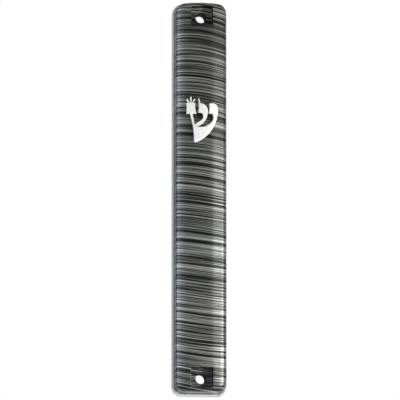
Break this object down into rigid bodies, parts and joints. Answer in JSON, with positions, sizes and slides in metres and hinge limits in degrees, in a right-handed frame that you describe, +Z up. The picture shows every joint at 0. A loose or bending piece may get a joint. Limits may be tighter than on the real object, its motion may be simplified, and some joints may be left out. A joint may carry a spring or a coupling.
{
  "type": "mezuzah case",
  "caption": "Slim upright mezuzah case: striped glossy front shell with a raised letter, screw pockets at both ends and a clear press-on back, holding a rolled parchment.",
  "frame": {"origin": "centre of the back face that lies on the doorpost, midway between the two screw holes", "axes": "+Z up along the case, -Y out of the front, +Y into the doorpost, +X to the right as seen from the front"},
  "size_m": [0.0208, 0.0143, 0.15],
  "materials": {
    "striped_plastic": "gloss, printed with fine level grey stripes",
    "clear_plastic": "clear, slightly hazy",
    "satin_silver": "satin, warm white silver",
    "parchment": "matt, finely grained skin"
  },
  "bodies": {
    "back": {"back_cover": "clear_plastic"},
    "front": {"front_shell": "striped_plastic", "shin_emblem": "satin_silver"},
    "scroll": {"parchment_scroll": "parchment"}
  },
  "joints": [
    {"name": "shell_lift", "type": "slide", "parent": "back", "child": "front", "axis": [0, -1, 0], "range_m": [0, 0.03]},
    {"name": "scroll_lift", "type": "slide", "parent": "back", "child": "scroll", "axis": [0, -1, 0], "range_m": [0, 0.015]}
  ],
  "couplings": [
    {"joint": "scroll_lift", "follows": "shell_lift", "ratio": 0.5}
  ]
}
